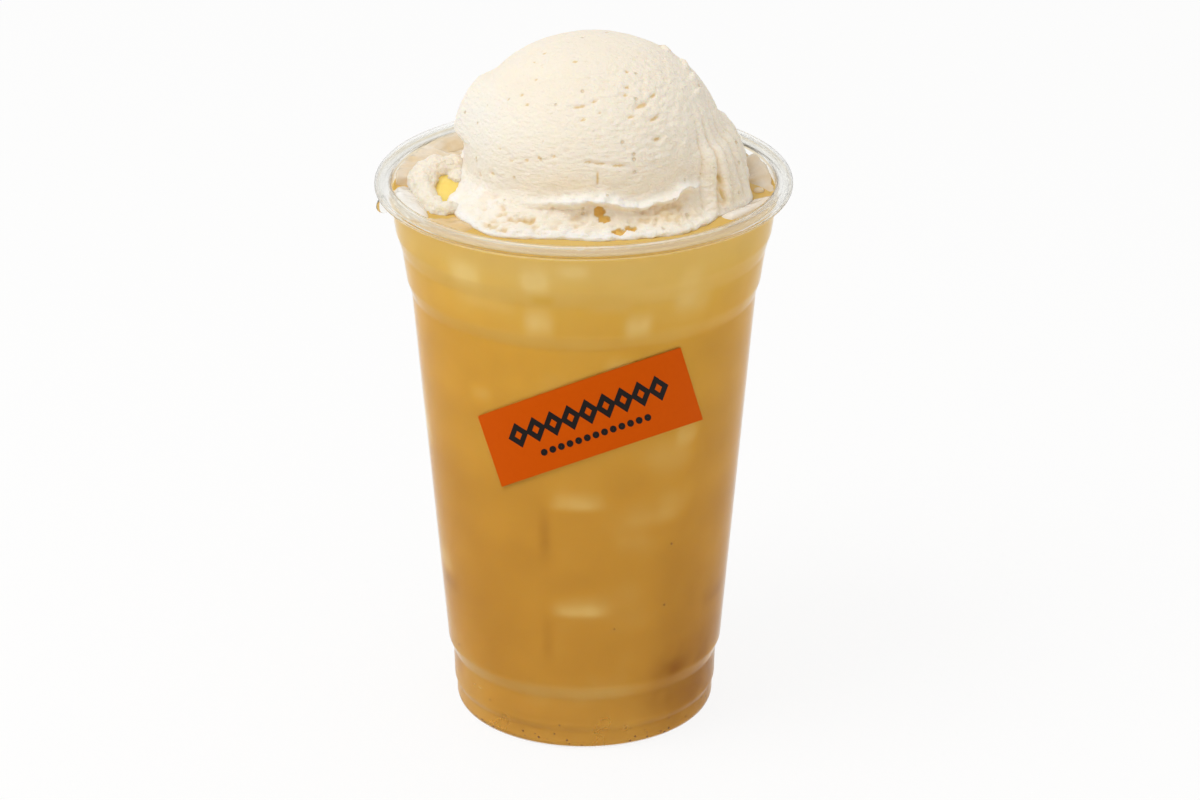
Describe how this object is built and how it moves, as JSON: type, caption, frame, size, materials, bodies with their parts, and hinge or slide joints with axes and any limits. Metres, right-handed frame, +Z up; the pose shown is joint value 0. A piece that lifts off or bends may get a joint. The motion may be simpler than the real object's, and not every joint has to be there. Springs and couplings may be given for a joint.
{
  "type": "tea float",
  "caption": "Iced tea with a scoop of vanilla ice cream floating on it, in a clear tapered plastic cup with a rolled rim and a plain orange label.",
  "frame": {"origin": "centre of the cup's foot, on the surface that it stands on", "axes": "+Z up along the cup's axis, -Y the front, where the label is, +X to the right as seen from the front"},
  "size_m": [0.098, 0.098, 0.1676],
  "materials": {
    "clear_plastic": "gloss",
    "tea": "gloss",
    "ice_cream": "matt",
    "label": "satin paper",
    "ice": "wet"
  },
  "bodies": {
    "root": {"cup": "clear_plastic", "tea": "tea", "ice_cream_scoop": "ice_cream", "label": "label", "ice_left": "ice", "ice_right": "ice", "ice_back_left": "ice", "ice_back_right": "ice", "ice_front_left": "ice"}
  },
  "joints": []
}
